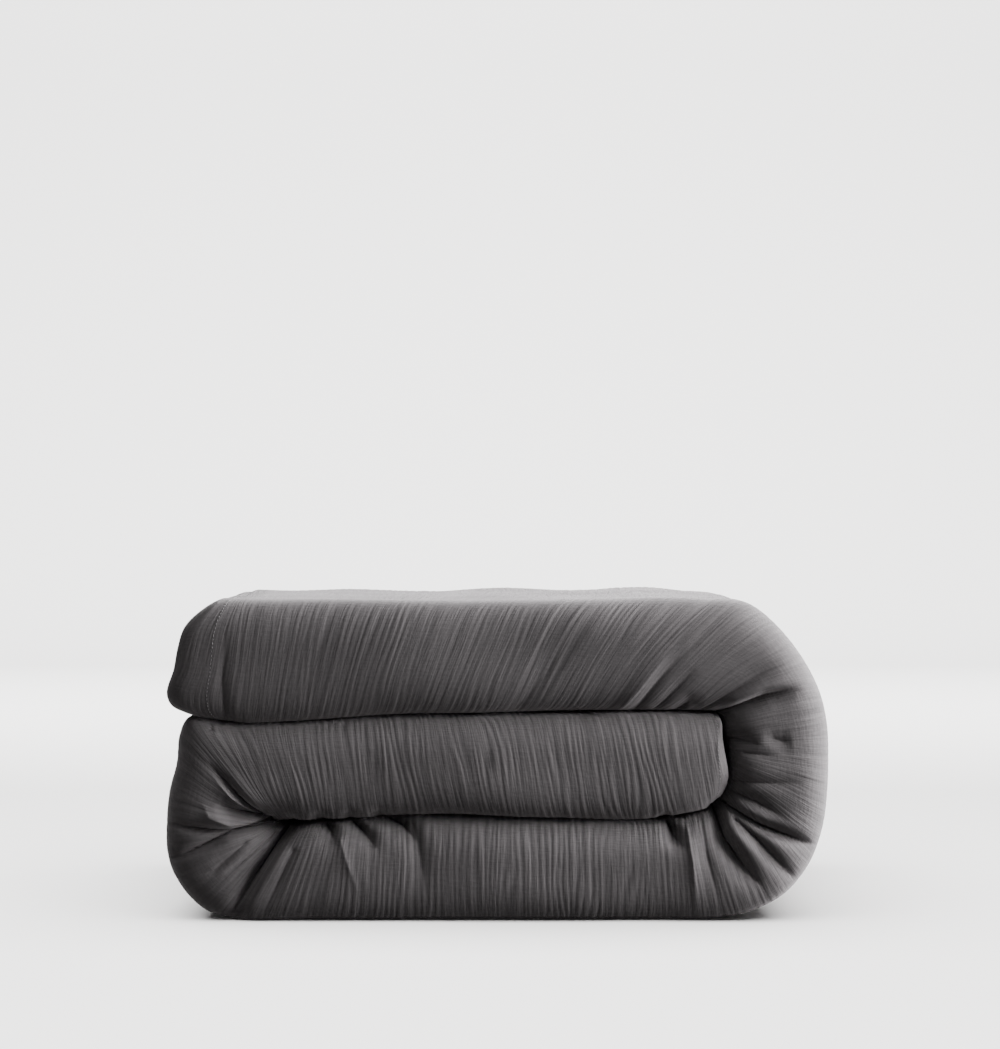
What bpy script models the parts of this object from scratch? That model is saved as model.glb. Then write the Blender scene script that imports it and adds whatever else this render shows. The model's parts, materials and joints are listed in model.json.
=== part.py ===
"""A double-gauze duvet folded for storage: an insert inside a buttoned cover, folded in four
lengthwise and then in three, like a letter. Metres, +Z up, front fold towards -Y."""

import math

import bmesh
import bpy
from mathutils import Matrix, Vector

# Folded size.
FOLDED_WIDTH = 0.664  # left bend to right bend
FOLDED_DEPTH = 0.520  # front folds to back fold
PLY_THICKNESS = 0.0255  # one thickness of the filled duvet
PLY_GAP = 0.001  # between the four plies of a layer
LAYER_GAP = 0.0025  # between the three layers

# Bends and ends of the three layers.
BEND_INNER_RADIUS = 0.022  # inside corners of the right bend, which holds the middle layer
HEAD_END_GAP = 0.015  # between the middle layer's free end and the inside of the bend
FOOT_END_SETBACK = 0.006  # the top layer's free end, short of the left bend

# Fabrics.
COVER_FABRIC = 0.0008
SHELL_FABRIC = 0.0006
HEM_FABRIC = 0.0006
CLEARANCE = 0.0003  # between neighbouring pieces

# Edges of the cover and of the insert.
SEAM_WIDTH = 0.008
SEAM_HOLLOW = 0.0012  # half the space left inside the cover at a side seam
SIDE_TAPER = 0.045
OUTER_SEAM_SETBACK = 0.012  # side seams stop short of the back fold
INNER_SEAM_SETBACK = 0.020
HEAD_TAPER = 0.060
HEM_WIDTH = 0.040
HEM_TAPER = 0.090
HEM_SIDE_INSET = 0.012
INSERT_SIDE_INSET = 0.022
INSERT_HEAD_INSET = 0.015
INSERT_TAPER = 0.100
INSERT_EDGE = 0.0005  # half the thickness of the fill at its edge

# Buttons in the foot hem.
BUTTON_COUNT = 8
BUTTON_RADIUS = 0.0075
BUTTON_THICKNESS = 0.002
BUTTON_HOLE_RADIUS = 0.0009
BUTTON_HOLE_OFFSET = 0.0016

# Corner ties of the cover and corner loops of the insert.
TAPE_THICKNESS = 0.0005
TIE_WIDTH = 0.008
TIE_REACH = 0.005  # past the loop, towards the cover's corner
LOOP_BAR = 0.0025
LOOP_WIDTH = 0.016
LOOP_LENGTH = 0.0097

# Steps of the round folds.
FRONT_FOLD_STEPS = 6
SMALL_FOLD_STEPS = 4
LEFT_BEND_STEPS = 6
HALF_BEND_STEPS = 2

PLY_PITCH = PLY_THICKNESS + PLY_GAP
LAYER_THICKNESS = 3 * PLY_PITCH + PLY_THICKNESS
LAYER_PITCH = LAYER_THICKNESS + LAYER_GAP
BOTTOM_Z = LAYER_THICKNESS / 2
MIDDLE_Z = BOTTOM_Z + LAYER_PITCH
TOP_Z = MIDDLE_Z + LAYER_PITCH
RIGHT_BEND_RADIUS = BEND_INNER_RADIUS + LAYER_THICKNESS
BEND_MIDLINE = BEND_INNER_RADIUS + LAYER_THICKNESS / 2
RIGHT_BEND_X = FOLDED_WIDTH / 2 - RIGHT_BEND_RADIUS
HEAD_END_X = RIGHT_BEND_X + BEND_INNER_RADIUS - HEAD_END_GAP
FOOT_END_X = FOOT_END_SETBACK - FOLDED_WIDTH / 2
LEFT_BEND_X = (LAYER_PITCH + LAYER_THICKNESS - FOLDED_WIDTH) / 2
FRONT_FOLD_Y = (LAYER_THICKNESS - FOLDED_DEPTH) / 2
BACK_FOLD_Y = (FOLDED_DEPTH - PLY_THICKNESS - PLY_PITCH) / 2
OUTER_EDGE_Y = FOLDED_DEPTH / 2 - OUTER_SEAM_SETBACK - SEAM_WIDTH
INNER_EDGE_Y = FOLDED_DEPTH / 2 - INNER_SEAM_SETBACK - SEAM_WIDTH
OUTER_PLY = -1.5 * PLY_PITCH  # the ply on the inside of the bends, which ends in a side seam
INNER_PLY = -0.5 * PLY_PITCH

# Each cloth surface's distance from the middle of its ply: at full loft, at the ends and at the sides.
COVER_INSIDE = (PLY_THICKNESS / 2 - COVER_FABRIC, BUTTON_THICKNESS / 2 + 2 * CLEARANCE + HEM_FABRIC, SEAM_HOLLOW)
SHELL_OUTSIDE = (COVER_INSIDE[0] - CLEARANCE,) + 2 * (INSERT_EDGE + CLEARANCE + SHELL_FABRIC,)
SHELL_INSIDE = tuple(distance - SHELL_FABRIC for distance in SHELL_OUTSIDE)
FILL_SURFACE = tuple(distance - CLEARANCE for distance in SHELL_INSIDE)
COVER_OUTSIDE = tuple(distance + COVER_FABRIC for distance in COVER_INSIDE)
HEM_OUTSIDE = (0, COVER_INSIDE[1] - CLEARANCE, SEAM_HOLLOW)
HEM_INSIDE = tuple(distance - HEM_FABRIC for distance in HEM_OUTSIDE)


def clear_scene():
    for thing in list(bpy.data.objects):
        bpy.data.objects.remove(thing, do_unlink=True)


def cloth(name, colour, roughness):
    """A plain woven finish in linear colour."""
    material = bpy.data.materials.new(name)
    material.use_nodes = True
    shader = material.node_tree.nodes["Principled BSDF"]
    shader.inputs["Base Color"].default_value = (*colour, 1)
    shader.inputs["Roughness"].default_value = roughness
    shader.inputs["Metallic"].default_value = 0
    material.diffuse_color = (*colour, 1)
    return material


def add_piece(name, bm, material, parent):
    """Turns a finished bmesh into a named object of the folded duvet."""
    mesh = bpy.data.meshes.new(name)
    bmesh.ops.recalc_face_normals(bm, faces=bm.faces)
    bm.to_mesh(mesh)
    bm.free()
    return place_mesh(name, mesh, material, parent)


def place_mesh(name, mesh, material, parent):
    mesh.shade_smooth()
    mesh.set_sharp_from_angle(angle=math.radians(50))
    if not mesh.materials:
        mesh.materials.append(material)
    piece = bpy.data.objects.new(name, mesh)
    bpy.context.collection.objects.link(piece)
    piece.parent = parent
    piece.matrix_parent_inverse = Matrix.Translation(-parent.location)
    return piece


def hinge_empty(name, x, z):
    """An empty on the line about which a body folds."""
    empty = bpy.data.objects.new(name, None)
    bpy.context.collection.objects.link(empty)
    empty.location = (x, 0, z)
    return empty


# The folding in four: one ply's midline from side seam to side seam, seen along the strip.


def arc_points(centre_y, centre_n, radius, start, end, steps, facing):
    """Points on a round fold as (y, n, normal y, normal n), the normal being the side of the cover's face."""
    points = []
    for step in range(steps + 1):
        angle = math.radians(start + (end - start) * step / steps)
        y, n = math.cos(angle), math.sin(angle)
        points.append((centre_y + radius * y, centre_n + radius * n, facing * y, facing * n))
    return points


def ply_midline(inset):
    """The midline of the four plies, its two ends this far inside the cover's side edges."""
    outer, inner = OUTER_EDGE_Y - inset, INNER_EDGE_Y - inset
    return [
        (outer, OUTER_PLY, 0, -1),
        (outer - SIDE_TAPER, OUTER_PLY, 0, -1),
        *arc_points(FRONT_FOLD_Y, 0, 1.5 * PLY_PITCH, 270, 90, FRONT_FOLD_STEPS, 1),
        *arc_points(BACK_FOLD_Y, PLY_PITCH, PLY_PITCH / 2, 90, -90, SMALL_FOLD_STEPS, 1),
        *arc_points(FRONT_FOLD_Y, 0, PLY_PITCH / 2, 90, 270, SMALL_FOLD_STEPS, -1),
        (inner - SIDE_TAPER, INNER_PLY, 0, 1),
        (inner, INNER_PLY, 0, 1),
    ]


def surface_points(midline, distances, side, loft):
    """A cloth surface on one side of the midline, between its thickness at an end (loft 0) and in full (1)."""
    full, end, edge = distances
    reach = end + (full - end) * loft
    points = []
    for index, (y, n, normal_y, normal_n) in enumerate(midline):
        at_side = index in (0, len(midline) - 1)
        distance = side * (min(edge, reach) if at_side else reach)
        points.append((y + normal_y * distance, n + normal_n * distance))
    return points


# The folding in three: stations along the strip as (x, z, angle of the outer side, loft).


def bend(centre_x, centre_z, radius, start, end, steps):
    stations = []
    for step in range(steps + 1):
        turn = start + (end - start) * step / steps
        angle = math.radians(turn)
        stations.append((centre_x + radius * math.cos(angle), centre_z + radius * math.sin(angle), turn, 1))
    return stations


def shifted(station, distance):
    """A station moved along the strip, which leaves the clearance where two bodies meet."""
    x, z, turn, loft = station
    angle = math.radians(turn)
    return (x - distance * math.sin(angle), z + distance * math.cos(angle), turn, loft)


def strip_stations(body, head, foot):
    """The stations of one body. The head and foot ends differ between the cover and the insert."""
    lower = (RIGHT_BEND_X, BOTTOM_Z + BEND_MIDLINE, BEND_MIDLINE)
    upper = (RIGHT_BEND_X, TOP_Z - BEND_MIDLINE, BEND_MIDLINE)
    if body == "base":
        left = bend(LEFT_BEND_X, (BOTTOM_Z + MIDDLE_Z) / 2, LAYER_PITCH / 2, 90, 270, LEFT_BEND_STEPS)
        start = bend(*lower, 270, 315, HALF_BEND_STEPS)
        return head + left + start[:-1] + [shifted(start[-1], -CLEARANCE / 2)]
    if body == "bend":
        rise = bend(*lower, 315, 360, HALF_BEND_STEPS)
        turn = bend(*upper, 0, 45, HALF_BEND_STEPS)
        return [shifted(rise[0], CLEARANCE / 2)] + rise[1:] + turn[:-1] + [shifted(turn[-1], -CLEARANCE / 2)]
    end = bend(*upper, 45, 90, HALF_BEND_STEPS)
    return [shifted(end[0], CLEARANCE / 2)] + end[1:] + foot


def cover_stations(body):
    head = [(HEAD_END_X, MIDDLE_Z, 90, 0), (HEAD_END_X - HEAD_TAPER, MIDDLE_Z, 90, 1)]
    hem_line = FOOT_END_X + HEM_WIDTH
    foot = [(hem_line + HEM_TAPER, TOP_Z, 90, 1), (hem_line, TOP_Z, 90, 0), (FOOT_END_X, TOP_Z, 90, 0)]
    return strip_stations(body, head, foot)


def insert_stations(body):
    head_x = HEAD_END_X - INSERT_HEAD_INSET
    foot_x = FOOT_END_X + HEM_WIDTH + LOOP_BAR * 2
    head = [(head_x, MIDDLE_Z, 90, 0), (head_x - INSERT_TAPER, MIDDLE_Z, 90, 1)]
    foot = [(foot_x + INSERT_TAPER, TOP_Z, 90, 1), (foot_x, TOP_Z, 90, 0)]
    return strip_stations(body, head, foot)


def hem_stations():
    return [(FOOT_END_X + HEM_WIDTH, TOP_Z, 90, 0), (FOOT_END_X + CLEARANCE, TOP_Z, 90, 0)]


def placed(points, station):
    """Cross-section points (y, n) set at a station of the strip."""
    x, z, turn, _ = station
    angle = math.radians(turn)
    return [Vector((x + n * math.cos(angle), y, z + n * math.sin(angle))) for y, n in points]


def lofted(rings):
    """One closed body: the first ring's edges extruded from ring to ring, and both ends filled."""
    bm = bmesh.new()
    corners = [bm.verts.new(place) for place in rings[0]]
    first = [bm.edges.new(pair) for pair in zip(corners, corners[1:] + corners[:1])]
    edges = first
    for ring in rings[1:]:
        grown = bmesh.ops.extrude_edge_only(bm, edges=edges)["geom"]
        fresh = {item for item in grown if isinstance(item, bmesh.types.BMVert)}
        edges = [item for item in grown if isinstance(item, bmesh.types.BMEdge) and fresh.issuperset(item.verts)]
        moved = []
        for corner, place in zip(corners, ring):
            across = [edge.other_vert(corner) for edge in corner.link_edges]
            moved.append(next(vert for vert in across if vert in fresh))
            moved[-1].co = place
        split_quads(corners, moved)
        corners = moved
    bmesh.ops.edgeloop_fill(bm, edges=first)
    bmesh.ops.edgeloop_fill(bm, edges=edges)
    return bm


def split_quads(here, there):
    """Cuts each quad between two rings the same way on the near and the far half of a ring, so that
    neighbouring cloths that twist together stay parallel."""
    count = len(here)
    for index in range(count):
        ahead = (index + 1) % count
        ends = (here[index], there[ahead]) if index < count // 2 else (here[ahead], there[index])
        shared = set(ends[0].link_faces) & set(ends[1].link_faces)
        bmesh.utils.face_split(shared.pop(), *ends)


def cloth_layer(stations, inset, near, far):
    """A layer between two surfaces, each given as (distances, side of the midline)."""
    midline = ply_midline(inset)
    rings = []
    for station in stations:
        loft = station[3]
        outline = surface_points(midline, *near, loft) + surface_points(midline, *far, loft)[::-1]
        rings.append(placed(outline, station))
    return lofted(rings)


def seam_bar(stations, edge_y, ply):
    """A flat folded seam that runs along a side edge of the cover."""
    half = SEAM_HOLLOW + COVER_FABRIC
    near, far = edge_y + CLEARANCE, edge_y + SEAM_WIDTH
    outline = [(near, ply - half), (far, ply - half), (far, ply + half), (near, ply + half)]
    return lofted([placed(outline, station) for station in stations])


def extruded_outline(points, depth):
    """A flat outline in the plane of y and z, extruded along x."""
    bm = bmesh.new()
    face = bm.faces.new([bm.verts.new((-depth / 2, y, z)) for y, z in points])
    grown = bmesh.ops.extrude_face_region(bm, geom=[face], use_keep_orig=True)["geom"]
    moved = [item for item in grown if isinstance(item, bmesh.types.BMVert)]
    bmesh.ops.translate(bm, verts=moved, vec=(depth, 0, 0))
    return bm


def corner_tie():
    """A tape folded back round the loop's bar, its two ends towards the cover's corner at +Y."""
    gap = TAPE_THICKNESS / 2 + CLEARANCE
    outside = gap + TAPE_THICKNESS
    fold = LOOP_LENGTH - LOOP_BAR - CLEARANCE
    back, tail = fold - TAPE_THICKNESS, LOOP_LENGTH + TIE_REACH
    outline = [(tail, outside), (back, outside), (back, -outside), (tail, -outside)]
    outline += [(tail, -gap), (fold, -gap), (fold, gap), (tail, gap)]
    return extruded_outline(outline, TIE_WIDTH)


def corner_loop():
    """A flat loop of tape that stands out from the insert's corner towards +Y."""
    bm = bmesh.new()
    corners = [(-1, 0), (1, 0), (1, 1), (-1, 1)]
    verts = [bm.verts.new((x * LOOP_WIDTH / 2, y * LOOP_LENGTH, -TAPE_THICKNESS / 2)) for x, y in corners]
    face = bm.faces.new(verts)
    bm.normal_update()
    bmesh.ops.inset_individual(bm, faces=[face], thickness=LOOP_BAR, use_even_offset=True)
    bmesh.ops.delete(bm, geom=[face], context="FACES")
    grown = bmesh.ops.extrude_face_region(bm, geom=bm.faces[:], use_keep_orig=True)["geom"]
    moved = [item for item in grown if isinstance(item, bmesh.types.BMVert)]
    bmesh.ops.translate(bm, verts=moved, vec=(0, 0, TAPE_THICKNESS))
    return bm


def button_mesh():
    """A flat four-hole button about its own centre."""
    disc = bmesh.new()
    bmesh.ops.create_cone(
        disc, cap_ends=True, segments=20, radius1=BUTTON_RADIUS, radius2=BUTTON_RADIUS, depth=BUTTON_THICKNESS
    )
    drills = bmesh.new()
    for turn in range(4):
        angle = math.radians(45 + 90 * turn)
        offset = BUTTON_HOLE_OFFSET * math.sqrt(2)
        place = Matrix.Translation((offset * math.cos(angle), offset * math.sin(angle), 0))
        bmesh.ops.create_cone(
            drills, cap_ends=True, segments=8, radius1=BUTTON_HOLE_RADIUS, radius2=BUTTON_HOLE_RADIUS,
            depth=BUTTON_THICKNESS * 3, matrix=place,
        )
    blank, cutter = (bpy.data.objects.new(name, bpy.data.meshes.new(name)) for name in ("blank", "drills"))
    for thing, bm in ((blank, disc), (cutter, drills)):
        bm.to_mesh(thing.data)
        bm.free()
        bpy.context.collection.objects.link(thing)
    cut = blank.modifiers.new("holes", "BOOLEAN")
    cut.operation = "DIFFERENCE"
    cut.object = cutter
    mesh = bpy.data.meshes.new_from_object(blank.evaluated_get(bpy.context.evaluated_depsgraph_get()))
    for thing in (blank, cutter):
        bpy.data.objects.remove(thing, do_unlink=True)
    mesh.name = "button"
    return mesh


def button_places():
    """Centres and tilts of buttons spaced evenly along the hem, from side seam to side seam."""
    midline = ply_midline(0)
    runs = [math.dist(a[:2], b[:2]) for a, b in zip(midline, midline[1:])]
    places = []
    for index in range(BUTTON_COUNT):
        left = sum(runs) * (index + 0.5) / BUTTON_COUNT
        segment = 0
        while left > runs[segment]:
            left -= runs[segment]
            segment += 1
        share = left / runs[segment]
        y, n, normal_y, normal_n = (a + (b - a) * share for a, b in zip(midline[segment], midline[segment + 1]))
        tilt = math.atan2(normal_y, normal_n)
        places.append(((FOOT_END_X + HEM_WIDTH / 2, y, TOP_Z + n), tilt))
    return places


def build_body(body, parent, gauze, cotton, wadding):
    """The cover, shell, fill and side seams of one body of the strip."""
    cover, insert = cover_stations(body), insert_stations(body)
    for side, name in ((1, "face"), (-1, "back")):
        panel = cloth_layer(cover, 0, (COVER_OUTSIDE, side), (COVER_INSIDE, side))
        add_piece(f"cover_{name}_{body}", panel, gauze, parent)
        panel = cloth_layer(insert, INSERT_SIDE_INSET, (SHELL_OUTSIDE, side), (SHELL_INSIDE, side))
        add_piece(f"insert_shell_{name}_{body}", panel, cotton, parent)
    fill = cloth_layer(insert, INSERT_SIDE_INSET, (FILL_SURFACE, 1), (FILL_SURFACE, -1))
    add_piece(f"insert_fill_{body}", fill, wadding, parent)
    add_piece(f"side_seam_outer_{body}", seam_bar(cover, OUTER_EDGE_Y, OUTER_PLY), gauze, parent)
    add_piece(f"side_seam_inner_{body}", seam_bar(cover, INNER_EDGE_Y, INNER_PLY), gauze, parent)


def build_head_seam(parent, gauze):
    """The seam that closes the cover's head end, past the ends of its two panels."""
    stations = [(HEAD_END_X + reach, MIDDLE_Z, 90, 0) for reach in (CLEARANCE, SEAM_WIDTH)]
    add_piece("head_seam", cloth_layer(stations, 0, (COVER_OUTSIDE, 1), (COVER_OUTSIDE, -1)), gauze, parent)


def build_foot_hem(parent, gauze, horn):
    """The two hem facings inside the foot opening, and the buttons between them."""
    for side, name in ((1, "face"), (-1, "back")):
        facing = cloth_layer(hem_stations(), HEM_SIDE_INSET, (HEM_OUTSIDE, side), (HEM_INSIDE, side))
        add_piece(f"foot_hem_{name}", facing, gauze, parent)
    mesh = button_mesh()
    for index, (centre, tilt) in enumerate(button_places(), 1):
        button = place_mesh(f"button_{index}", mesh, horn, parent)
        button.location = centre
        button.rotation_euler = (-tilt, 0, 0)


def build_corner(end, side, corner_x, edge_y, layer_z, ply, parent, tape):
    """One tie of the cover, and the insert's loop that it holds."""
    place = Vector((corner_x, edge_y - INSERT_SIDE_INSET + CLEARANCE, layer_z + ply))
    for name, bm in (("corner_tie", corner_tie()), ("insert_loop", corner_loop())):
        bmesh.ops.translate(bm, verts=bm.verts, vec=place)
        add_piece(f"{name}_{end}_{side}", bm, tape, parent)


def build_corners(base, flap, tape):
    inward = LOOP_WIDTH / 2 + LOOP_BAR
    head_x = HEAD_END_X - INSERT_HEAD_INSET - inward
    foot_x = FOOT_END_X + HEM_WIDTH + LOOP_BAR * 2 + inward
    for side, edge_y, ply in (("outer", OUTER_EDGE_Y, OUTER_PLY), ("inner", INNER_EDGE_Y, INNER_PLY)):
        build_corner("head", side, head_x, edge_y, MIDDLE_Z, ply, base, tape)
        build_corner("foot", side, foot_x, edge_y, TOP_Z, ply, flap, tape)


def build():
    clear_scene()
    gauze = cloth("charcoal_double_gauze", (0.078, 0.075, 0.077), 0.95)
    cotton = cloth("white_cotton_shell", (0.75, 0.74, 0.71), 0.9)
    wadding = cloth("white_wadding", (0.85, 0.85, 0.84), 1.0)
    tape = cloth("grey_twill_tape", (0.12, 0.115, 0.118), 0.85)
    horn = cloth("charcoal_button", (0.05, 0.048, 0.05), 0.35)
    reach = RIGHT_BEND_RADIUS * math.sin(math.radians(45))
    base = hinge_empty("base_frame", 0, 0)
    bend_hinge = hinge_empty("bend_hinge", RIGHT_BEND_X + reach, RIGHT_BEND_RADIUS - reach)
    flap_hinge = hinge_empty("flap_hinge", RIGHT_BEND_X + reach, TOP_Z - BEND_MIDLINE + reach)
    for body, parent in (("base", base), ("bend", bend_hinge), ("flap", flap_hinge)):
        build_body(body, parent, gauze, cotton, wadding)
    build_head_seam(base, gauze)
    build_foot_hem(flap_hinge, gauze, horn)
    build_corners(base, flap_hinge, tape)


build()
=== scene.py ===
"""A charcoal double-gauze duvet folded in four and then in three, with its insert, seams and buttons."""

import json
import math

import bmesh
import bpy
import numpy as np
from mathutils import Matrix, Vector


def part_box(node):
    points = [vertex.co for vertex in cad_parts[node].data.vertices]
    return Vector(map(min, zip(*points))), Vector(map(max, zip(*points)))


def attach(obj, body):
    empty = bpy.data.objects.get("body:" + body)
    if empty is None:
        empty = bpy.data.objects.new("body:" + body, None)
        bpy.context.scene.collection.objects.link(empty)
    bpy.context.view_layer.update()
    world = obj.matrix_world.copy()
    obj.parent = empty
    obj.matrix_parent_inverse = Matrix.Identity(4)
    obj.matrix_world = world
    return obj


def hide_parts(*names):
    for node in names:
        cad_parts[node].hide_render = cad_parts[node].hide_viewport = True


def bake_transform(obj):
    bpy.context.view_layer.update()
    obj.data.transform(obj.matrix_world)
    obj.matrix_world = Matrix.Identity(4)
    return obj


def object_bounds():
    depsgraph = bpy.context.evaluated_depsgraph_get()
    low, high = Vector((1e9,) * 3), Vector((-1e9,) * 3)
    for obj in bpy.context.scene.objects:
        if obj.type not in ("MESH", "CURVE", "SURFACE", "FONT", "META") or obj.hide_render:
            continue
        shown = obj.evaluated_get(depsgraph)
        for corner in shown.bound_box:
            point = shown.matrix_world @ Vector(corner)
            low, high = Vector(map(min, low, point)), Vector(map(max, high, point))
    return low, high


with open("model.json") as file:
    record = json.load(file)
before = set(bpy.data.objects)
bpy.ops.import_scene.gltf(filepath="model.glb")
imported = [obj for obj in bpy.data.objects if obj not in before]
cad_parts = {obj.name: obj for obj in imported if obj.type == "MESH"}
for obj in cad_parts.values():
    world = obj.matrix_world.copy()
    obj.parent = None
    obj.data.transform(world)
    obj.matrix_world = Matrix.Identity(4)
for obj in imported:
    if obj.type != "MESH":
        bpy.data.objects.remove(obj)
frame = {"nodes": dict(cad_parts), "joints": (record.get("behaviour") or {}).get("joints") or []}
cad_low, cad_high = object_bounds()

# Camera. Level and square on to the closed folds, far enough back for the upright edges to stay upright. It
# takes the place of any camera and lamp that the scene starts with.
CAMERA_DISTANCE = 2.885  # from the front folds
CAMERA_HEIGHT = 0.3945
CAMERA_SIDE = 0.0032
CAMERA_LENS = 100  # millimetres

for spare in [thing for thing in bpy.data.objects if thing.type in ("LIGHT", "CAMERA")]:
    bpy.data.objects.remove(spare)
camera = bpy.data.objects.new("camera", bpy.data.cameras.new("camera"))
bpy.context.scene.collection.objects.link(camera)
camera.data.lens = CAMERA_LENS
camera.location = (CAMERA_SIDE, cad_low[1] - CAMERA_DISTANCE, CAMERA_HEIGHT)
camera.rotation_euler = (math.radians(90), 0, 0)
bpy.context.scene.camera = camera


# Floor and backdrop. One pale sweep of studio paper lies under the duvet and curves up at both ends, so that
# no edge shows from any side. The paper is uncoated: it scatters light evenly and has no highlight.
SWEEP_WIDTH = 30.0
SWEEP_NEAR = -7.0
SWEEP_FAR = 5.0
SWEEP_RADIUS = 2.0
SWEEP_HEIGHT = 8.0
SWEEP_STEPS = 16  # in each curve


def linear(hex_colour):
    """An sRGB hex value as linear red, green, blue and alpha."""
    parts = [int(hex_colour[start:start + 2], 16) / 255 for start in (1, 3, 5)]
    return [part / 12.92 if part <= 0.04045 else ((part + 0.055) / 1.055) ** 2.4 for part in parts] + [1]


def new_finish(name):
    """An empty material: the material, its node tree and its Principled shader."""
    material = bpy.data.materials.new(name)
    material.use_nodes = True
    return material, material.node_tree, material.node_tree.nodes["Principled BSDF"]


def add_object(name, bm, material):
    """A finished bmesh as a smooth object at the origin."""
    mesh = bpy.data.meshes.new(name)
    bm.to_mesh(mesh)
    bm.free()
    mesh.shade_smooth()
    mesh.materials.append(material)
    piece = bpy.data.objects.new(name, mesh)
    bpy.context.scene.collection.objects.link(piece)
    return piece


paper, paper_tree, paper_shader = new_finish("matt_studio_paper")
paper_shader.inputs["Base Color"].default_value = linear("#EFEEED")
paper_shader.inputs["Roughness"].default_value = 0.95
bm = bmesh.new()
ends = [bm.verts.new((-SWEEP_WIDTH / 2, y, 0)) for y in (SWEEP_NEAR, SWEEP_FAR)]
bm.edges.new(ends)
for end, y, turn in zip(ends, (SWEEP_NEAR, SWEEP_FAR), (-90, 90)):
    curve = bmesh.ops.spin(
        bm, geom=[end], cent=(0, y, SWEEP_RADIUS), axis=(1, 0, 0), angle=math.radians(turn), steps=SWEEP_STEPS
    )
    curve_end = [item for item in curve["geom_last"] if isinstance(item, bmesh.types.BMVert)][0]
    bm.edges.new([curve_end, bm.verts.new((curve_end.co.x, curve_end.co.y, SWEEP_HEIGHT))])
grown = bmesh.ops.extrude_edge_only(bm, edges=bm.edges[:])["geom"]
far_side = [item for item in grown if isinstance(item, bmesh.types.BMVert)]
bmesh.ops.translate(bm, verts=far_side, vec=(SWEEP_WIDTH, 0, 0))
bmesh.ops.recalc_face_normals(bm, faces=bm.faces)
sweep = add_object("studio_sweep", bm, paper)


# Lights. A soft key close at the right grazes the fronts and fades to the left. A side light and a rim light
# shape the right bend, and two fills soften the top and the back. The paper has its own lamps and gives the
# duvet no light back, so that the duvet stays dark and the paper plain and pale.
KEY_SPREAD = 70  # degrees
AIR_STRENGTH = 0.15
LIGHTS = [
    # name, place, width, height, watts, aim, what it lights
    ("right_key", (1.40, -0.76, 0.60), 0.95, 0.95, 12.5, (0.15, -0.1, 0.12), "duvet"),
    ("right_side", (2.2, 0.0, 0.95), 0.9, 0.9, 340, (0.25, 0, 0.15), "duvet"),
    ("right_rim", (1.7, 1.5, 0.75), 0.8, 1.2, 90, (0.25, 0, 0.15), "duvet"),
    ("top_fill", (0, -1.2, 4.8), 6.0, 6.0, 200, (0, -0.6, 0), "duvet"),
    ("back_fill", (-0.6, 3.0, 1.6), 1.6, 1.6, 110, (0, 0.2, 0.15), "duvet"),
    ("overhead", (0, -1.2, 4.8), 10.0, 9.0, 2050, (0, -1.2, 0), "paper"),
    ("backdrop_light", (0, 2.2, 3.6), 9.0, 2.5, 1170, (0, 7.0, 2.2), "paper"),
]
world = bpy.data.worlds.new("pale_air")
world.use_nodes = True
world.node_tree.nodes["Background"].inputs["Color"].default_value = linear("#F2F2F2")
world.node_tree.nodes["Background"].inputs["Strength"].default_value = AIR_STRENGTH
bpy.context.scene.world = world
sweep.visible_diffuse = False
for name, place, width, height, watts, aim, lit in LIGHTS:
    lamp = bpy.data.lights.new(name, "AREA")
    lamp.shape = "RECTANGLE"
    lamp.size, lamp.size_y = width, height
    lamp.energy = watts
    light = bpy.data.objects.new(name, lamp)
    light.location = place
    light.rotation_euler = (Vector(aim) - Vector(place)).to_track_quat("-Z", "Y").to_euler()
    light.visible_camera = False
    if name == "right_key":
        lamp.spread = math.radians(KEY_SPREAD)
    bpy.context.scene.collection.objects.link(light)
    # The collection holds the sweep alone, which this lamp lights alone or leaves out.
    linked = bpy.data.collections.new(f"lit_by_{name}")
    linked.objects.link(sweep)
    light.light_linking.receiver_collection = linked
    linked.collection_objects[0].light_linking.link_state = "INCLUDE" if lit == "paper" else "EXCLUDE"


# The folded strip. The duvet is folded in four across its width, which leaves two plies' worth of closed
# folds at the front, and the strip is then folded in three. It runs from the middle layer's free end at
# the right, round the left bend, along the bottom, round the right bend, and back over the top to the left.
PLY = 0.0255  # thickness of one ply
PLY_PITCH = 0.0265  # from one ply's middle to the next's
LAYER = 3 * PLY_PITCH + PLY  # thickness of a layer, which is four plies
FRONT, BACK = cad_low[1], cad_high[1]
FRONT_FOLD = FRONT + LAYER / 2  # where the front folds' centres lie
BACK_FOLD = BACK - PLY_PITCH / 2 - PLY / 2
OUTER_EDGE = BACK - 0.012  # of the outermost ply, which is free at the back
INNER_EDGE = BACK - 0.020  # of the innermost ply, likewise
FOLD_SQUARENESS = 3.0  # of the wide front fold: 2 is round
HEAD_REACH = 0.016  # of the middle layer's free end past its first station
FOOT_REACH = 0.078  # of the top layer's free end past its last station
THIN_END = 0.10  # of a ply's thickness left at a seam
HEAD_THINNING = (0.020, 0.003)  # under and on top of the middle layer
FOOT_THINNING = 0.022
SIDE_THINNING = 0.045
EDGE_WANDER = 0.0035  # of the plies' back edges, along the strip
WANDER_INWARD = 0.6  # of that, by which they are drawn in throughout
WANDER_FADE = (0.100, 0.010)  # before the back, from none of it to all
FOLDS_FADE = (0.015, 0.100)  # behind the front, from all of the folds to none
BEHIND_FOLDS = 0.004  # of a fold's depth, over which a piece inside takes up its slack
FOOT_LIFT = 0.09  # of the underside, for each metre past the last station
SWELL = 0.0016
SWELL_HEIGHTS = (0.020, 0.100)  # between which the swell comes in, since cloth on the floor lies flat
TOP_SWELL = 0.0016
TOP_HEIGHTS = (0.290, 0.315)  # between which the top's own swell comes in
TOP_DEPTHS = (0.030, 0.140)  # behind the front, likewise
FLOOR_GAP = 0.0004  # under the lowest cloth

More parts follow.
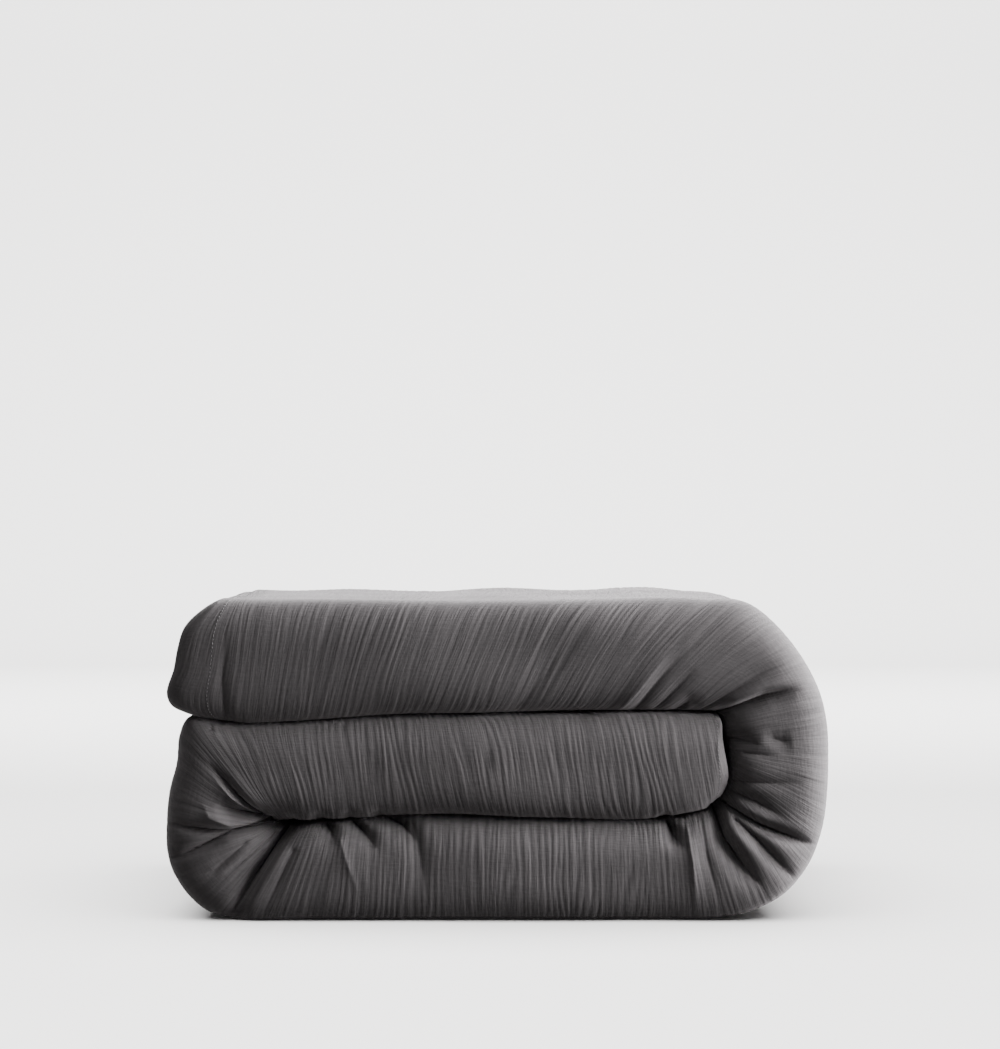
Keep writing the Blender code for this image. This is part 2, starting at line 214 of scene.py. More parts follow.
STATIONS = [
    # inner line x and z, outer line x and z, seen from the front
    # middle layer, right to left: underside, upper side
    (0.2130, 0.1085, 0.2130, 0.2050),
    (0.1500, 0.0990, 0.1500, 0.2065),
    (0.0500, 0.1005, 0.0500, 0.2045),
    (-0.0500, 0.1035, -0.0500, 0.2030),
    (-0.1400, 0.1000, -0.1400, 0.2000),
    # left bend
    (-0.1950, 0.0975, -0.2150, 0.1955),
    (-0.2150, 0.0965, -0.2700, 0.1950),
    (-0.2205, 0.0955, -0.3115, 0.1995),
    (-0.2225, 0.0950, -0.3185, 0.1840),
    (-0.2235, 0.0945, -0.3215, 0.1570),
    (-0.2245, 0.0935, -0.3285, 0.1290),
    (-0.2245, 0.0925, -0.3320, 0.0960),
    (-0.2240, 0.0915, -0.3300, 0.0610),
    (-0.2225, 0.0905, -0.3170, 0.0330),
    (-0.2190, 0.0900, -0.2945, 0.0095),
    (-0.2060, 0.0905, -0.2650, 0.0005),
    # bottom layer, left to right: upper side, underside
    (-0.1650, 0.0960, -0.1850, 0.0000),
    (-0.0900, 0.1005, -0.0900, 0.0000),
    (0.0000, 0.0995, 0.0000, 0.0000),
    (0.0900, 0.0970, 0.0900, 0.0000),
    (0.1650, 0.0960, 0.1700, 0.0000),
    # right bend
    (0.1980, 0.1020, 0.2170, 0.0005),
    (0.2180, 0.1110, 0.2535, 0.0065),
    (0.2300, 0.1235, 0.2895, 0.0245),
    (0.2350, 0.1370, 0.3140, 0.0555),
    (0.2360, 0.1500, 0.3270, 0.0925),
    (0.2355, 0.1610, 0.3315, 0.1280),
    (0.2340, 0.1720, 0.3320, 0.1620),
    (0.2325, 0.1820, 0.3305, 0.1960),
    (0.2305, 0.1920, 0.3240, 0.2280),
    (0.2275, 0.2020, 0.3090, 0.2590),
    (0.2210, 0.2070, 0.2850, 0.2890),
    (0.2060, 0.2080, 0.2560, 0.3130),
    # top layer, right to left: underside, upper side
    (0.1650, 0.2085, 0.2050, 0.3195),
    (0.1000, 0.2085, 0.1150, 0.3195),
    (0.0000, 0.2062, 0.0000, 0.3190),
    (-0.1000, 0.2035, -0.1000, 0.3190),
    (-0.1800, 0.1990, -0.1800, 0.3195),
    (-0.2500, 0.1950, -0.2500, 0.3195),
]
MEASURED_AT = 0.65  # of the way out, where distances along the strip are measured
BASE_TO_BEND = 18  # the station where the cover's first cut lies, under the middle of the stack
BEND_TO_FLAP = 27  # and its second, half way up the right bend
# The outline of the two free ends: place across the layer, and share of the end's reach.
HEAD_SHAPE = [(-1.0, 0.2), (-0.7, 0.8), (-0.4, 1.1), (-0.1, 1.05), (0.4, 0.8), (0.8, 0.75), (1.0, 0.72)]
FOOT_SHAPE = [
    (-1.0, 0.74), (-0.83, 0.95), (-0.67, 1.0), (-0.14, 0.91), (0.2, 0.86), (0.55, 0.77), (1.0, 0.46)
]

# Folds and puckers of the front, seen from the front. Each runs from its deep end to where it fades.
FOLD_HOLLOW = (0.5, 1.3)  # of each fold: share of its depth, and reach in half widths
FOLD_LINE = (0.65, 0.45)  # the same, of the sharp line in the hollow
FOLD_WIDENING = (0.8, 0.5)  # of its half width: at the deep end, and more by the far end
FOLD_FADE = (0.35, 1.15)  # shares of its length between which it fades
LIP_START = (0.02, 0.25)  # shares of its length between which its lip comes up
LIP_REACH = 2.2  # in half widths
FOLDS = [
    # points, half width, depth (negative stands proud), lip on its left side
    # left bend
    ([(-0.222, 0.094)], 0.0220, 0.0211, 0.0000),
    ([(-0.238, 0.104), (-0.258, 0.109), (-0.277, 0.118)], 0.0072, 0.0265, 0.0000),
    ([(-0.229, 0.097), (-0.258, 0.128), (-0.286, 0.158)], 0.0046, 0.0156, -0.0045),
    ([(-0.235, 0.102), (-0.262, 0.124), (-0.287, 0.151)], 0.0050, -0.0098, 0.0000),
    ([(-0.240, 0.098), (-0.264, 0.097), (-0.284, 0.105), (-0.290, 0.117)], 0.0058, -0.0101, 0.0000),
    ([(-0.226, 0.095), (-0.264, 0.089), (-0.336, 0.098)], 0.0036, 0.0165, 0.0015),
    ([(-0.228, 0.099), (-0.267, 0.088), (-0.310, 0.068), (-0.330, 0.060)], 0.0040, 0.0205, 0.0032),
    ([(-0.205, 0.096), (-0.221, 0.075), (-0.243, 0.042), (-0.264, 0.006)], 0.0055, 0.0330, 0.0048),
    ([(-0.224, 0.084), (-0.245, 0.066), (-0.270, 0.047)], 0.0040, 0.0074, 0.0000),
    ([(-0.234, 0.068), (-0.262, 0.040), (-0.280, 0.030)], 0.0054, 0.0042, 0.0000),
    ([(-0.250, 0.078), (-0.280, 0.052), (-0.304, 0.044)], 0.0063, 0.0042, 0.0000),
    ([(-0.202, 0.070), (-0.226, 0.020), (-0.232, 0.002)], 0.0054, 0.0035, 0.0000),
    # under the middle layer, left of the centre
    ([(-0.176, 0.100), (-0.166, 0.090), (-0.160, 0.078)], 0.0067, 0.0226, 0.0000),
    ([(-0.148, 0.100), (-0.130, 0.086), (-0.120, 0.074)], 0.0063, 0.0211, 0.0000),
    ([(-0.118, 0.102), (-0.094, 0.093), (-0.082, 0.080)], 0.0072, 0.0257, 0.0000),
    ([(-0.155, 0.082), (-0.148, 0.060), (-0.138, 0.030)], 0.0072, -0.0032, 0.0000),
    ([(-0.084, 0.094), (-0.076, 0.066), (-0.070, 0.026)], 0.0090, 0.0042, 0.0000),
    # under the middle layer's free end
    ([(0.168, 0.100), (0.176, 0.084), (0.186, 0.075)], 0.0059, 0.0226, -0.0030),
    ([(0.190, 0.092), (0.195, 0.060), (0.199, 0.009)], 0.0045, -0.0039, 0.0000),
    ([(0.204, 0.100), (0.209, 0.066), (0.222, 0.020)], 0.0063, 0.0042, 0.0000),
    # right bend
    ([(0.223, 0.114)], 0.0200, 0.0156, 0.0000),
    ([(0.217, 0.110), (0.2265, 0.0825), (0.2534, 0.048), (0.263, 0.037)], 0.0068, 0.0296, 0.0071),
    ([(0.224, 0.117), (0.262, 0.096), (0.290, 0.086), (0.322, 0.073)], 0.0047, 0.0195, 0.0030),
    ([(0.238, 0.100), (0.262, 0.080), (0.302, 0.038)], 0.0052, 0.0117, 0.0023),
    ([(0.230, 0.130), (0.258, 0.118), (0.288, 0.101)], 0.0095, 0.0133, 0.0000),
    ([(0.232, 0.139), (0.270, 0.137), (0.306, 0.138)], 0.0060, 0.0066, 0.0000),
    ([(0.229, 0.183), (0.244, 0.180), (0.260, 0.175)], 0.0060, 0.0117, 0.0000),
    ([(0.246, 0.167), (0.268, 0.165), (0.280, 0.166)], 0.0048, 0.0039, 0.0000),
    ([(0.274, 0.181), (0.284, 0.178), (0.292, 0.179)], 0.0075, 0.0055, 0.0000),
    # top layer
    ([(0.222, 0.207), (0.244, 0.216), (0.266, 0.225), (0.296, 0.231)], 0.0045, 0.0218, 0.0112),
    ([(0.176, 0.207), (0.190, 0.217), (0.206, 0.214)], 0.0054, 0.0105, 0.0000),
    ([(0.204, 0.209), (0.240, 0.232), (0.276, 0.256)], 0.0072, 0.0063, 0.0000),
    ([(0.138, 0.210), (0.160, 0.240), (0.184, 0.270)], 0.0072, 0.0063, 0.0000),
    ([(0.122, 0.208), (0.148, 0.240), (0.176, 0.276)], 0.0081, -0.0053, 0.0000),
    ([(0.160, 0.213), (0.178, 0.232), (0.196, 0.252)], 0.0063, 0.0053, 0.0000),
    ([(0.020, 0.212), (0.050, 0.250), (0.086, 0.300)], 0.0144, 0.0032, 0.0000),
    ([(-0.284, 0.190), (-0.285, 0.198), (-0.288, 0.206)], 0.0027, 0.0053, 0.0000),
    ([(-0.270, 0.200), (-0.272, 0.240), (-0.268, 0.290)], 0.0045, 0.0032, 0.0000),
]

inner_line = np.array([(station[0], station[1]) for station in STATIONS])
outer_line = np.array([(station[2], station[3]) for station in STATIONS])
middle_line = inner_line * (1 - MEASURED_AT) + outer_line * MEASURED_AT
knots = np.concatenate([[0], np.cumsum(np.linalg.norm(np.diff(middle_line, axis=0), axis=1))])
STRIP_START, STRIP_END = -HEAD_REACH, knots[-1] + FOOT_REACH
head_levels, head_shares = zip(*HEAD_SHAPE)
foot_levels, foot_shares = zip(*FOOT_SHAPE)


def through(values, at_knots, places):
    """A smooth curve through values at rising knots, read at the given places."""
    values, at_knots = np.asarray(values, float), np.asarray(at_knots, float)
    slopes = np.gradient(values, at_knots, axis=0)
    low = np.clip(np.searchsorted(at_knots, places, side="right") - 1, 0, len(at_knots) - 2)
    span = at_knots[low + 1] - at_knots[low]
    share = (np.clip(places, at_knots[0], at_knots[-1]) - at_knots[low]) / span
    return (
        values[low] * (2 * share**3 - 3 * share**2 + 1)
        + values[low + 1] * (3 * share**2 - 2 * share**3)
        + slopes[low] * span * (share**3 - 2 * share**2 + share)
        + slopes[low + 1] * span * (share**3 - share**2)
    )


def soft_step(value, low, high):
    """From 0 at low to 1 at high, soft at both ends."""
    share = np.clip((value - low) / (high - low), 0, 1)
    return share * share * (3 - 2 * share)


def waves(x, y, z, length, count, seed):
    """Soft random swells of about the given wavelength, near -1 to 1."""
    draw = np.random.default_rng(seed)
    total = 0
    for index in range(count):
        way = draw.normal(size=3)
        way *= 2 * math.pi / (length * draw.uniform(0.75, 1.5) * np.linalg.norm(way))
        total = total + np.sin(way[0] * x + way[1] * y + way[2] * z + draw.uniform(0, 2 * math.pi))
    return total / math.sqrt(count)


def fold_relief(x, z):
    """How far the front is drawn in by its folds at a place seen from the front.

    Each fold is a sharp line in a broad hollow, and fades along its length. Its left lip may stand proud."""
    total = np.zeros_like(x)
    for points, width, depth, lip in FOLDS:
        nearest = np.full_like(x, 1e9)
        side = np.zeros_like(x)
        along = np.zeros_like(x)
        lengths = [math.dist(a, b) for a, b in zip(points, points[1:])]
        if not lengths:
            nearest = np.hypot(x - points[0][0], z - points[0][1])
        for index, ((start_x, start_z), (end_x, end_z)) in enumerate(zip(points, points[1:])):
            run_x, run_z = (end_x - start_x) / lengths[index], (end_z - start_z) / lengths[index]
            reach = np.clip((x - start_x) * run_x + (z - start_z) * run_z, 0, lengths[index])
            off_x, off_z = x - start_x - reach * run_x, z - start_z - reach * run_z
            distance = np.hypot(off_x, off_z)
            closer = distance < nearest
            nearest = np.where(closer, distance, nearest)
            side = np.where(closer, run_x * off_z - run_z * off_x, side)
            along = np.where(closer, (sum(lengths[:index]) + reach) / sum(lengths), along)
        fade = 1 - soft_step(along, *FOLD_FADE)
        spread = width * (FOLD_WIDENING[0] + FOLD_WIDENING[1] * along)
        broad = FOLD_HOLLOW[0] * np.exp(-(nearest / (FOLD_HOLLOW[1] * spread)) ** 2)
        sharp = FOLD_LINE[0] * np.exp(-nearest / (FOLD_LINE[1] * spread))
        total += fade * depth * (broad + sharp)
        fade = fade * soft_step(along, *LIP_START)
        total -= fade * lip * np.tanh(side / spread) * np.exp(-(nearest / (LIP_REACH * spread)) ** 2)
    return total


def lay(along, y, n, slack=0.0):
    """Points of the folded strip: distance along it, depth, and place across it (-1 inside to 1 outside).

    Slack is how much further than the cover an inner piece draws back behind a fold."""
    along, y, n = np.broadcast_arrays(along, y, n)
    share = (n + 1) / 2
    x, z = (
        through(inner_line[:, axis], knots, along) * (1 - share)
        + through(outer_line[:, axis], knots, along) * share
        for axis in (0, 1)
    )
    past_head = np.clip(-along, 0, None)
    past_foot = np.clip(along - knots[-1], 0, None)
    x = x + past_head * through(head_shares, head_levels, n)
    x = x - past_foot * through(foot_shares, foot_levels, n)
    z = z + FOOT_LIFT * past_foot * (1 - share)
    near_front = 1 - soft_step(y, FRONT + FOLDS_FADE[0], FRONT + FOLDS_FADE[1])
    near_back = soft_step(y, BACK - WANDER_FADE[0], BACK - WANDER_FADE[1])
    relief = fold_relief(x, z)
    y = y + near_front * (relief + slack * soft_step(relief, 0, BEHIND_FOLDS))
    wander = waves(along, 0.08 * n, 0, length=0.190, count=10, seed=41) - WANDER_INWARD
    y = y + near_back * EDGE_WANDER * wander
    top = soft_step(z, *TOP_HEIGHTS) * soft_step(y, FRONT + TOP_DEPTHS[0], FRONT + TOP_DEPTHS[1])
    z = z + TOP_SWELL * top * waves(x, y, 0, length=0.150, count=14, seed=43)
    swell = SWELL * waves(x, y, z, length=0.110, count=14, seed=3)
    off_floor = soft_step(z, *SWELL_HEIGHTS)
    return np.stack([x + 0.5 * swell, y + swell * near_front, z + 0.35 * swell * off_floor], axis=-1)


# The cover. Face and back panels of charcoal double gauze: two thin cotton weaves, tacked together and
# crinkled in the wash, round a soft insert. The crinkles stand as narrow ribs across the strip, slanted where
# the folding pulled the cloth askew.
RIB_HEIGHT = 0.00062
RIB_SPACING = 0.0068
RIB_DRIFT = 1.5  # radians by which the lines between ribs wander
RIB_LINE_SOFTNESS = 0.05  # of those lines
RIB_UNEVENNESS = 0.22  # of the ribs' heights
HIDDEN_RIBS = 0.25  # strength of the ribs on the ply's hidden side
STATION_STEP = 0.0014  # along the strip
ROW_STEP = 0.0019  # round the folds of the ply
FLAT_RUNS = (0.15, 0.15, 0.03, 0.07)  # of its four flats, counted at that step: they need fewer rows
INNER_ROWS = 3  # rows outside for each row on the ply's hidden side
# Stations with the ribs' lean and strength there.
SLANTS = [(0, -0.22), (3, -0.26), (6, 0), (28, 0), (32, 0.95), (34, 0.75), (36, 0.5), (37, 0.35), (38, 0.2)]
RIB_STRENGTHS = [
    (0, 0.4), (1, 1), (4, 1.1), (7, 0.4), (14, 0.4), (17, 1),
    (20, 1), (23, 0.3), (30, 0.3), (34, 0.9), (36, 0.8), (38, 0.35),
]
SLANT_REACH = 0.085  # round the ply from its front, over which the ribs lean


def ply_rows(half, side_inset=0.0, step=ROW_STEP):
    """The folded ply's middle line: rows of depth, level, the way out of the ply, and thinning at edges."""
    rows = []

    def straight(start, end, level, facing, count, edge):
        for index in range(count):
            y = start + (end - start) * index / count
            away = min(1, abs(y - edge) / SIDE_THINNING) if edge else 1
            rows.append((y, level, 0, facing, max(THIN_END, math.sqrt(1 - (1 - away) ** 2))))

    def fold(centre_y, centre_n, radius, start, end, power):
        turn = np.radians(np.linspace(start, end, 721))  # far finer than the rows
        y = np.copysign(abs(np.cos(turn)) ** power, np.cos(turn))
        n = np.copysign(abs(np.sin(turn)) ** power, np.sin(turn))
        run = np.concatenate([[0], np.cumsum(np.hypot(np.diff(y), np.diff(n)))])
        even = np.linspace(0, run[-1], max(5, round(run[-1] * (radius + half) / step)), endpoint=False)
        for out_y, out_n in zip(np.interp(even, run, y), np.interp(even, run, n)):
            rows.append((centre_y + radius * out_y, centre_n + radius * out_n, out_y, out_n, 1))

    outer, inner = OUTER_EDGE - side_inset, INNER_EDGE - side_inset
    straight(outer, FRONT_FOLD, -1.5 * PLY_PITCH, -1, round(FLAT_RUNS[0] / step), outer)
    fold(FRONT_FOLD, 0, 1.5 * PLY_PITCH, 270, 90, 2 / FOLD_SQUARENESS)
    straight(FRONT_FOLD, BACK_FOLD, 1.5 * PLY_PITCH, 1, round(FLAT_RUNS[1] / step), None)
    fold(BACK_FOLD, PLY_PITCH, PLY_PITCH / 2, 90, -90, 1)
    straight(BACK_FOLD, FRONT_FOLD, PLY_PITCH / 2, -1, round(FLAT_RUNS[2] / step), None)
    fold(FRONT_FOLD, 0, PLY_PITCH / 2, 90, 270, 1)
    straight(FRONT_FOLD, inner, -PLY_PITCH / 2, 1, round(FLAT_RUNS[3] / step), inner)
    rows.append((inner, -PLY_PITCH / 2, 0, 1, THIN_END))
    return np.array(rows)


def cover_points(stations, rows, half, start, end):
    """The closed surface of the folded ply at each station, with its places along and round the ply."""
    y, n, out_y, out_n, thin = rows.T
    head_thinning = np.interp(n, (-1.5 * PLY_PITCH, 1.5 * PLY_PITCH), HEAD_THINNING)[None, :]
    head = np.clip((stations - start)[:, None] / head_thinning, 0, 1)
    foot = np.clip((end - stations)[:, None] / FOOT_THINNING, 0, 1)
    ends = np.minimum(np.sqrt(1 - (1 - head) ** 2), np.sqrt(1 - (1 - foot) ** 2))
    depth = half * np.maximum(THIN_END, ends) * thin[None, :]
    around = np.concatenate([[0], np.cumsum(np.hypot(np.diff(y), np.diff(n)))])
    front_row = int(np.argmin(y))
    around -= around[front_row]
    face = (y + depth * out_y, n + depth * out_n)
    back = ((y - depth * out_y)[:, ::-INNER_ROWS], (n - depth * out_n)[:, ::-INNER_ROWS])
    ring_y, ring_n = (np.concatenate(pair, axis=1) for pair in zip(face, back))
    return ring_y, ring_n / (LAYER / 2), np.concatenate([around, around[::-INNER_ROWS]])


def by_station(table, places):
    """A value at places along the strip, from pairs of station and value."""
    table_stations, values = zip(*table)
    return np.interp(places, knots[list(table_stations)], values)


def ribs(along, around):
    """Heights of the crinkle's ribs, from 0 between them to 1 on their crowns, and the place across them."""
    across = along + by_station(SLANTS, along) * SLANT_REACH * np.tanh(around / SLANT_REACH)
    drift = waves(across, 0.30 * around, 0, length=0.045, count=18, seed=31)
    drift = drift + 0.5 * waves(across, 0.25 * around, 0, length=0.018, count=18, seed=32)
    crown = np.sqrt(np.sin(math.pi * across / RIB_SPACING + RIB_DRIFT * drift) ** 2 + RIB_LINE_SOFTNESS)
    unequal = waves(across, 0.15 * around, 0, length=0.011, count=18, seed=33)
    unequal = 1 - RIB_UNEVENNESS + RIB_UNEVENNESS * unequal
    return np.clip(crown * unequal, 0, 1.2), across


def closed_grid(name, points, normals, weave, material):
    """A piece from rows of rings: a grid wrapped round into a tube, its two ends filled."""
    stations, ring = points.shape[:2]
    bm = bmesh.new()
    bmesh.ops.create_grid(bm, x_segments=ring, y_segments=stations - 1, size=1)
    wrapped = np.concatenate([points, points[:, :1]], axis=1).reshape(-1, 3)
    for vert, place in zip(bm.verts, wrapped.tolist()):
        vert.co = place
    bm.verts.ensure_lookup_table()
    seam = {bm.verts[row * (ring + 1) + ring]: bm.verts[row * (ring + 1)] for row in range(stations)}
    bmesh.ops.weld_verts(bm, targetmap=seam)
    ends = bmesh.ops.holes_fill(bm, edges=[edge for edge in bm.edges if edge.is_boundary], sides=0)["faces"]
    bmesh.ops.triangulate(bm, faces=ends)
    bmesh.ops.recalc_face_normals(bm, faces=bm.faces)
    piece = add_object(name, bm, material)
    piece.data.normals_split_custom_set_from_vertices(normals.reshape(-1, 3).tolist())
    attribute = piece.data.attributes.new("weave", "FLOAT_VECTOR", "POINT")
    attribute.data.foreach_set("vector", weave.reshape(-1))
    return piece


def outward(points):
    """Unit normals of a grid of rings, pointing out of it."""
    along = np.gradient(points, axis=0)
    around = np.roll(points, -1, axis=1) - np.roll(points, 1, axis=1)
    normals = np.cross(around, along)
    normals /= np.maximum(np.linalg.norm(normals, axis=-1, keepdims=True), 1e-12)
    front = np.argmin(points[len(points) // 2, :, 1])
    return normals if normals[len(points) // 2, front, 1] < 0 else -normals


def body_cuts(stations):
    """The rows of stations at which the strip starts, changes body twice, and ends."""
    changes = [int(np.argmin(abs(stations - knots[cut]))) for cut in (BASE_TO_BEND, BEND_TO_FLAP)]
    return [0, *changes, len(stations) - 1]


def stretches(cuts):
    """Each body with its rows of stations, the last one shared with the next body's first."""
    bodies = ("base", "bend", "flap")
    return [(body, slice(start, end + 1)) for body, start, end in zip(bodies, cuts, cuts[1:])]


double_gauze, tree, shader = new_finish("charcoal_crinkled_double_gauze")
cover = {}
stations = np.linspace(STRIP_START, STRIP_END, int((STRIP_END - STRIP_START) / STATION_STEP))
rows = ply_rows(PLY / 2)
ring_y, ring_n, around = cover_points(stations, rows, PLY / 2, STRIP_START, STRIP_END)
points = lay(stations[:, None], ring_y, ring_n)
normals = outward(points)
along = np.broadcast_to(stations[:, None], ring_y.shape)
around = np.broadcast_to(around[None, :], ring_y.shape)
rib, across = ribs(along, around)
open_face = np.where(np.arange(ring_y.shape[1]) < len(rows), 1.0, HIDDEN_RIBS)
uneven = 1 + 0.5 * waves(*np.moveaxis(points, -1, 0), length=0.08, count=12, seed=5)
strength = by_station(RIB_STRENGTHS, stations)[:, None] * np.clip(uneven, 0.2, 1.6)
points = points + normals * ((rib - 0.5) * RIB_HEIGHT * strength * open_face[None, :])[..., None]
points[..., 2] = np.maximum(points[..., 2], FLOOR_GAP)
# How near each point lies to a rib's crown, scaled by strength; the gauze's colour turns it into painted
# highlight and painted shade.
rib = 0.5 + (rib - 0.5) * strength
normals = outward(points)
weave = np.stack([across, around, rib], axis=-1)
cuts = body_cuts(stations)
for body, part in stretches(cuts):
    piece = closed_grid(f"cover_{body}", points[part], normals[part], weave[part], double_gauze)
    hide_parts(f"cover_face_{body}", f"cover_back_{body}")
    cover[body] = piece


HINGES = {joint["child"]: joint["pos_m"] for joint in frame["joints"]}
FLAP_BLEND_SHIFT = 0.018  # FLAP_BLEND_SHIFT = 0.018 # of the hinge place towards the flap, which follow_body works out and does not use


def follow_body(piece, body):
    """Rides a stretch of the strip on the base body; a stretch of the bend or the flap is left where it lies,
    its placement baked into its mesh, and the hinge place read for it is not used.
    """
    if body == "base":
        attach(piece, "base")
        return
    x, y, z = HINGES[body]
    if body == "bend":
        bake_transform(piece)
        return
    x, z = x - FLAP_BLEND_SHIFT / math.sqrt(2), z + FLAP_BLEND_SHIFT / math.sqrt(2)
    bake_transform(piece)


for body, piece in cover.items():
    follow_body(piece, body)


def add_node(tree, kind, inputs=None, **settings):
    """A shader node with its settings, and its inputs given as a value or as another node's output."""
    node = tree.nodes.new(kind)
    for name, value in settings.items():
        setattr(node, name, value)
    for name, value in (inputs or {}).items():
        if isinstance(value, bpy.types.NodeSocket):
            tree.links.new(value, node.inputs[name])
        else:
            node.inputs[name].default_value = value
    return node


# Double gauze is piece-dyed, open and loosely spun: matt, with a soft pale bloom at glancing angles from its
# loose fibres. Its colour holds painted highlight on the crowns of the ribs and of the finer crinkles and
# painted shade between them, over the threads' uneven tone. The weave attribute holds the place along and
# round the cloth, and how near a point is to a rib's crown.
THREADS_PER_METRE = 480  # 2 mm apart: the real threads, 0.5 to 1 mm apart, would be too fine to show
SLUBS_PER_METRE = 90  # a thread thickens about every 11 mm
FINE_RIBS_PER_METRE = 260  # small crinkles, 4 mm apart, between the ribs that the mesh has
FINE_RIB_BREAKS = 14  # in each metre, so that one runs for about 70 mm

place = add_node(tree, "ShaderNodeAttribute", attribute_name="weave").outputs["Vector"]
parts = add_node(tree, "ShaderNodeSeparateXYZ", {"Vector": place})
flat = add_node(tree, "ShaderNodeCombineXYZ", {"X": parts.outputs["X"], "Y": parts.outputs["Y"]})
patterns = []
for scale, detail in (
    ((THREADS_PER_METRE, SLUBS_PER_METRE, 1), 2.0),
    ((SLUBS_PER_METRE, THREADS_PER_METRE, 1), 2.0),
    ((FINE_RIBS_PER_METRE, FINE_RIB_BREAKS, 1), 3.0),
):
    run = add_node(tree, "ShaderNodeMapping", {"Vector": flat.outputs["Vector"], "Scale": scale})
    settings = {"Vector": run.outputs["Vector"], "Scale": 1.0, "Detail": detail}
    patterns.append(add_node(tree, "ShaderNodeTexNoise", settings).outputs["Fac"])
warp, weft, fine_ribs = patterns
cloth = add_node(tree, "ShaderNodeMath", {0: warp, 1: weft}, operation="ADD").outputs["Value"]
# The colour's mix: painted highlight on rib and crinkle crowns, painted shade between them, and the threads'
# uneven tone.
shade = parts.outputs["Z"]
for pattern, weight in ((fine_ribs, 0.8), (cloth, 0.35)):
    weighed = add_node(tree, "ShaderNodeMath", {0: pattern, 1: weight, 2: shade}, operation="MULTIPLY_ADD")
    shade = weighed.outputs["Value"]
ramp = add_node(tree, "ShaderNodeMapRange", {"Value": shade, "From Min": 0.5, "From Max": 1.6})
colour = add_node(tree, "ShaderNodeMix", {"Factor": ramp.outputs["Result"]}, data_type="RGBA")
colour.inputs[6].default_value = linear("#2B292A")
colour.inputs[7].default_value = linear("#4E4B4C")
tree.links.new(colour.outputs[2], shader.inputs["Base Color"])
bump = add_node(tree, "ShaderNodeBump", {"Height": cloth, "Distance": 0.0005, "Strength": 0.6})
fine_bump = add_node(tree, "ShaderNodeBump", {"Height": fine_ribs, "Distance": 0.0015, "Strength": 0.7})
tree.links.new(bump.outputs["Normal"], fine_bump.inputs["Normal"])
tree.links.new(fine_bump.outputs["Normal"], shader.inputs["Normal"])
shader.inputs["Roughness"].default_value = 0.92
shader.inputs["Specular IOR Level"].default_value = 0.2
shader.inputs["Sheen Weight"].default_value = 0.22
shader.inputs["Sheen Roughness"].default_value = 0.45
shader.inputs["Sheen Tint"].default_value = linear("#B9B4B6")


# Side seams. The cover's two long edges, which lie at the back of the stack. The face and back panels are
# turned in there and stitched into a narrow rolled bar, which wanders a little.
SEAM_WIDTH = 0.0045
SEAM_THICKNESS = 0.0019
SEAM_SIDES = 12
SEAM_WANDER = 0.0012
SEAM_ROUND = 0.004  # run of the weave round the bar, for each radian
SEAM_RIB = 0.4  # the seam's shade, between a rib's crown and its foot
for side, edge, level in (("outer", OUTER_EDGE, -1.5 * PLY_PITCH), ("inner", INNER_EDGE, -0.5 * PLY_PITCH)):
    turns = np.linspace(0, 2 * math.pi, SEAM_SIDES, endpoint=False)
    seam_stations = stations[::2]
    wander = SEAM_WANDER * waves(seam_stations, 0, 0, length=0.09, count=10, seed=21)[:, None]
    ring_y = edge + SEAM_WIDTH / 2 + wander + SEAM_WIDTH * np.cos(turns)[None, :]
    ring_n = (level + SEAM_THICKNESS * np.sin(turns)[None, :] + 0 * wander) / (LAYER / 2)
    seam = lay(seam_stations[:, None], ring_y, ring_n)
    seam[..., 2] = np.maximum(seam[..., 2], FLOOR_GAP)
    seam_round = SEAM_ROUND * turns[None, :]
    seam_weave = np.stack(np.broadcast_arrays(seam_stations[:, None], seam_round, SEAM_RIB), axis=-1)
    for body, part in stretches([0, cuts[1] // 2, cuts[2] // 2, len(seam_stations) - 1]):
        name = f"side_seam_{side}_{body}"
        piece = closed_grid(name, seam[part], outward(seam)[part], seam_weave[part], double_gauze)
        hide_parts(f"side_seam_{side}_{body}")
        follow_body(piece, body)


# The insert. A white cotton shell filled with soft wadding, a little smaller than the cover all round and
# folded with it. Plain-weave cotton is matt with a faint bloom, and carded wadding is a dull, fine tangle.
INSERT_SIDE_INSET = 0.022
INSERT_HEAD_INSET = 0.015
INSERT_FOOT_INSET = 0.048
INSERT_SLACK = 0.012  # by which it draws back further than the cover behind a fold
INSERT_ROW_STEP = 0.0055
INSERT_EVERY = 3  # stations of the cover for each of the insert's
SHELL_GAP = 0.0016  # inside the cover's outer face
WADDING_GAP = 0.0030
COTTON_PER_METRE = 900  # 1 mm apart: the real threads, 0.3 mm apart, would be too fine to show
TUFTS_PER_METRE = 160  # about 6 mm across
cotton, cotton_tree, cotton_shader = new_finish("white_plain_weave_cotton")
cotton_shader.inputs["Roughness"].default_value = 0.85
cotton_shader.inputs["Sheen Weight"].default_value = 0.15
wadding, wadding_tree, wadding_shader = new_finish("white_carded_wadding")
wadding_shader.inputs["Roughness"].default_value = 1.0
for tree, shader, scale, dark, light, distance in (
    (cotton_tree, cotton_shader, COTTON_PER_METRE, "#DEDCD6", "#F0EEE9", 0.0002),
    (wadding_tree, wadding_shader, TUFTS_PER_METRE, "#E2E1DE", "#F6F5F3", 0.0015),
):
    spot = add_node(tree, "ShaderNodeTexCoord").outputs["Object"]
    settings = {"Vector": spot, "Scale": scale, "Detail": 4.0}
    noise = add_node(tree, "ShaderNodeTexNoise", settings).outputs["Fac"]
    colour = add_node(tree, "ShaderNodeMix", {"Factor": noise}, data_type="RGBA")
    colour.inputs[6].default_value = linear(dark)
    colour.inputs[7].default_value = linear(light)
    tree.links.new(colour.outputs[2], shader.inputs["Base Color"])
    bump = add_node(tree, "ShaderNodeBump", {"Height": noise, "Distance": distance, "Strength": 0.6})
    tree.links.new(bump.outputs["Normal"], shader.inputs["Normal"])
insert_start, insert_end = STRIP_START + INSERT_HEAD_INSET, STRIP_END - INSERT_FOOT_INSET
